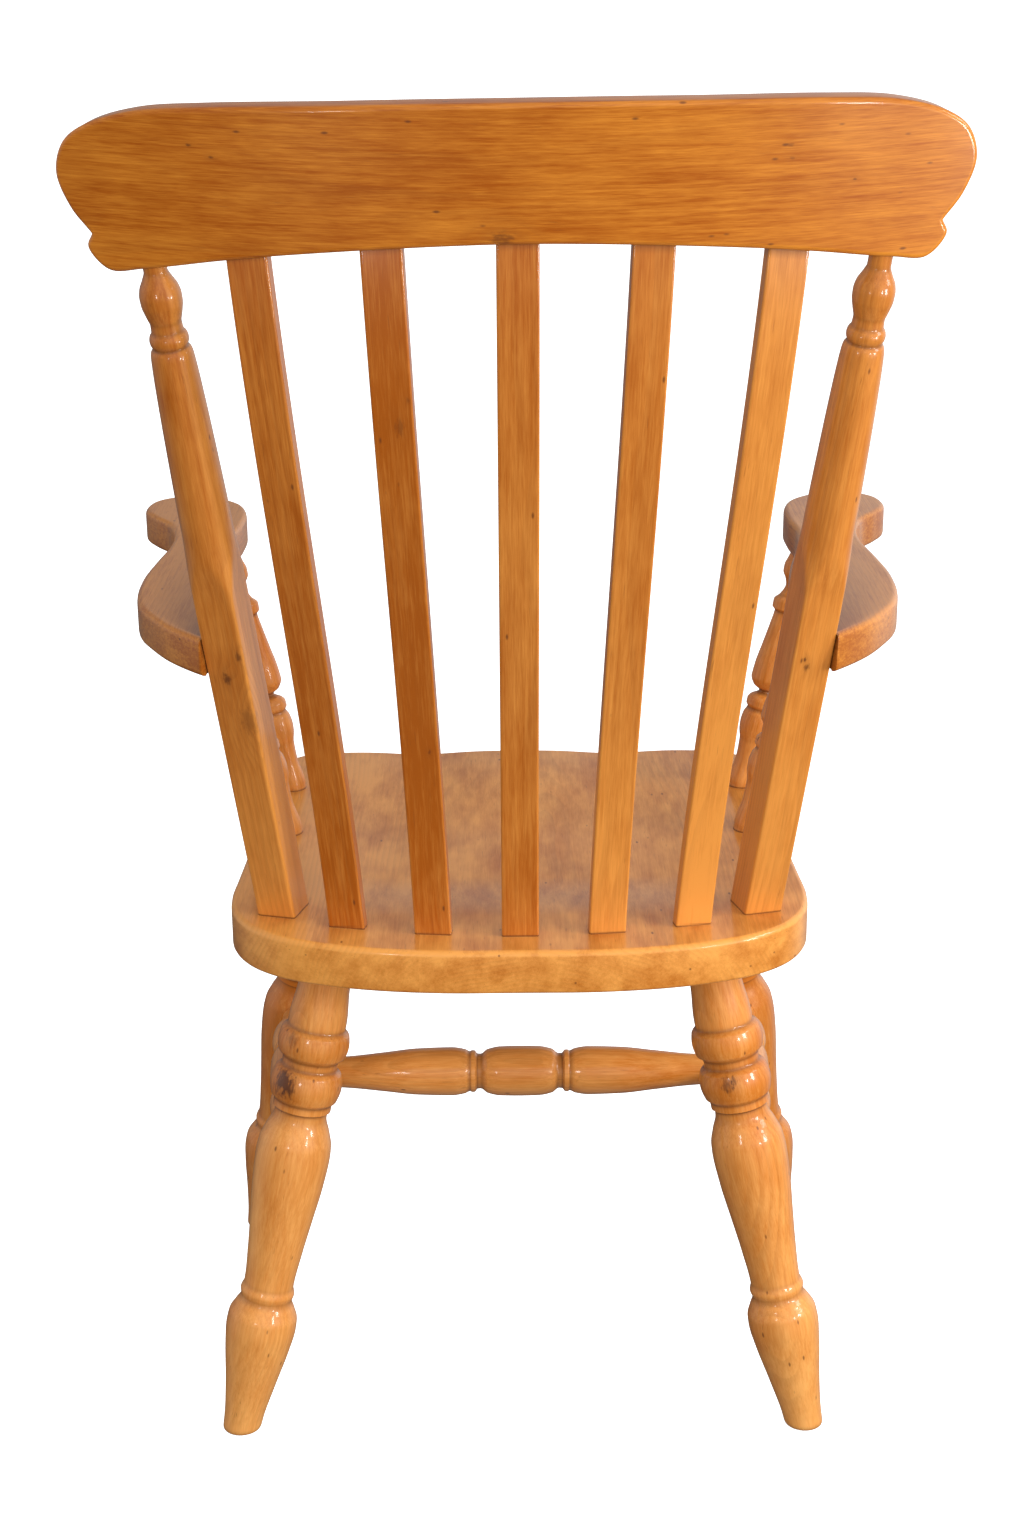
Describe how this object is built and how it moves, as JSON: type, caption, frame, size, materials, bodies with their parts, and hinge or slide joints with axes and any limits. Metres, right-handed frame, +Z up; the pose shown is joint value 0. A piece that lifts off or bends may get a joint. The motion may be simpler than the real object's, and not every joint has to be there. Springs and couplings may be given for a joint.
{
  "type": "captains chair",
  "caption": "High-backed wooden captains chair with a dished seat, bowed crest rail, bent back laths, shaped arms and turned splayed legs.",
  "frame": {"origin": "on the floor under the middle of the whole chair's bounding box", "axes": "+Z up, +Y towards the front of the seat, +X to the sitter's right"},
  "size_m": [0.6622, 0.5852, 1.0793],
  "materials": {
    "amber_wood": "glossy amber varnish",
    "pale_wood": "satin pale tan varnish"
  },
  "bodies": {
    "root": {"seat": "pale_wood", "crest_rail": "amber_wood", "slat_1": "amber_wood", "slat_2": "amber_wood", "slat_3": "amber_wood", "slat_4": "amber_wood", "slat_5": "amber_wood", "back_post_left": "amber_wood", "back_post_right": "amber_wood", "arm_left": "pale_wood", "arm_right": "pale_wood", "arm_post_front_left": "amber_wood", "arm_post_front_right": "amber_wood", "arm_post_rear_left": "amber_wood", "arm_post_rear_right": "amber_wood", "leg_front_left": "amber_wood", "leg_front_right": "amber_wood", "leg_rear_left": "amber_wood", "leg_rear_right": "amber_wood", "stretcher_left": "amber_wood", "stretcher_right": "amber_wood", "stretcher_cross": "amber_wood"}
  },
  "joints": []
}
